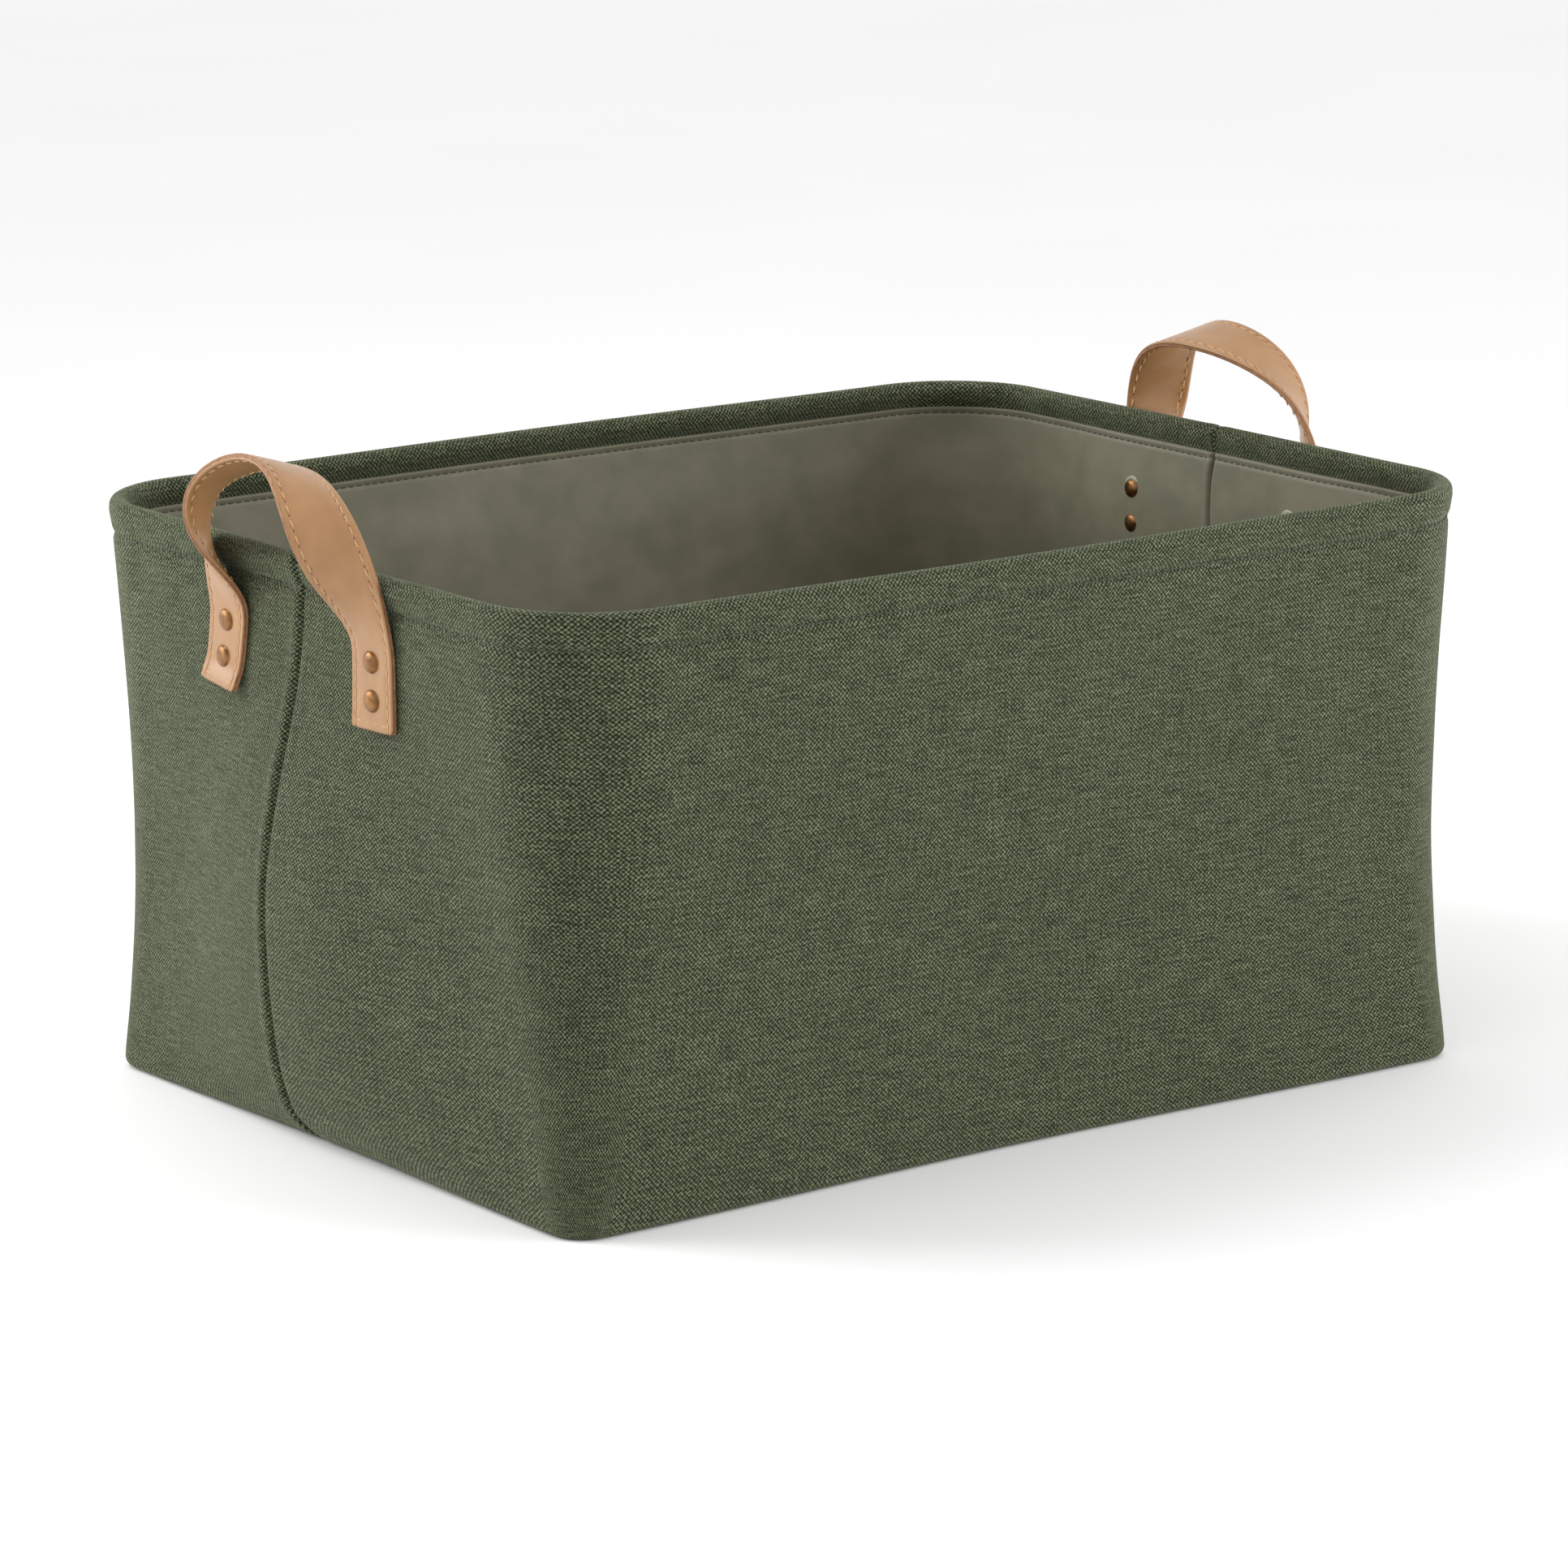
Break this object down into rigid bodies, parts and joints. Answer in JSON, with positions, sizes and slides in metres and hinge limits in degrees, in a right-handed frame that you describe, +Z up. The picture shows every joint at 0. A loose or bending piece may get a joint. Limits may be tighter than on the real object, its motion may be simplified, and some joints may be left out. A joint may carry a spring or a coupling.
{
  "type": "fabric storage bin",
  "caption": "Rectangular woven storage bin with a wired rolled rim, coated lining and riveted leather strap handles on both short ends.",
  "frame": {"origin": "on the floor under the middle of the bin", "axes": "+X along the long side, +Y along the short side, +Z up"},
  "size_m": [0.5201, 0.355, 0.2812],
  "materials": {
    "outer_weave": "olive slub hopsack weave, linen look polyester, matte",
    "coated_lining": "grey-green coated cloth, soft sheen",
    "base_board": "plain grey fibre board",
    "strap_leather": "tan faux leather, semi-gloss, stitched edges",
    "rivet_brass": "antique brass plating, polished domes",
    "hoop_steel": "drawn spring wire",
    "clear_washer": "translucent plastic"
  },
  "bodies": {
    "bin_base": {"base_board": "base_board", "lining_back_panel": "coated_lining", "lining_base_panel": "coated_lining", "lining_front_panel": "coated_lining", "outer_back_panel": "outer_weave", "outer_base_panel": "outer_weave", "outer_front_panel": "outer_weave"},
    "rim": {"left_handle_back_tab": "strap_leather", "left_handle_front_tab": "strap_leather", "right_handle_back_tab": "strap_leather", "right_handle_front_tab": "strap_leather", "rim_ferrule": "hoop_steel", "rim_hoop": "hoop_steel", "rivet_cap_left_back_lower": "rivet_brass", "rivet_cap_left_back_upper": "rivet_brass", "rivet_cap_left_front_lower": "rivet_brass", "rivet_cap_left_front_upper": "rivet_brass", "rivet_cap_right_back_lower": "rivet_brass", "rivet_cap_right_back_upper": "rivet_brass", "rivet_cap_right_front_lower": "rivet_brass", "rivet_cap_right_front_upper": "rivet_brass", "rivet_post_left_back_lower": "rivet_brass", "rivet_post_left_back_upper": "rivet_brass", "rivet_post_left_front_lower": "rivet_brass", "rivet_post_left_front_upper": "rivet_brass", "rivet_post_right_back_lower": "rivet_brass", "rivet_post_right_back_upper": "rivet_brass", "rivet_post_right_front_lower": "rivet_brass", "rivet_post_right_front_upper": "rivet_brass", "rivet_washer_left_back_lower": "clear_washer", "rivet_washer_left_back_upper": "clear_washer", "rivet_washer_left_front_lower": "clear_washer", "rivet_washer_left_front_upper": "clear_washer", "rivet_washer_right_back_lower": "clear_washer", "rivet_washer_right_back_upper": "clear_washer", "rivet_washer_right_front_lower": "clear_washer", "rivet_washer_right_front_upper": "clear_washer"},
    "left_handle": {"left_handle_loop": "strap_leather"},
    "right_handle": {"right_handle_loop": "strap_leather"}
  },
  "joints": [
    {"name": "rim_collapse", "type": "slide", "parent": "bin_base", "child": "rim", "axis": [0, 0, -1], "range_m": [0, 0.11], "deforming": ["outer_front_panel", "outer_back_panel", "lining_front_panel", "lining_back_panel"]},
    {"name": "left_handle_bend", "type": "hinge", "parent": "rim", "child": "left_handle", "pos_m": [-0.23382, 0, 0.211], "axis": [0, -1, 0], "range_deg": [0, 110], "stiffness_Nm_per_rad": 0.15},
    {"name": "right_handle_bend", "type": "hinge", "parent": "rim", "child": "right_handle", "pos_m": [0.23382, 0, 0.211], "axis": [0, 1, 0], "range_deg": [0, 110], "stiffness_Nm_per_rad": 0.15}
  ]
}
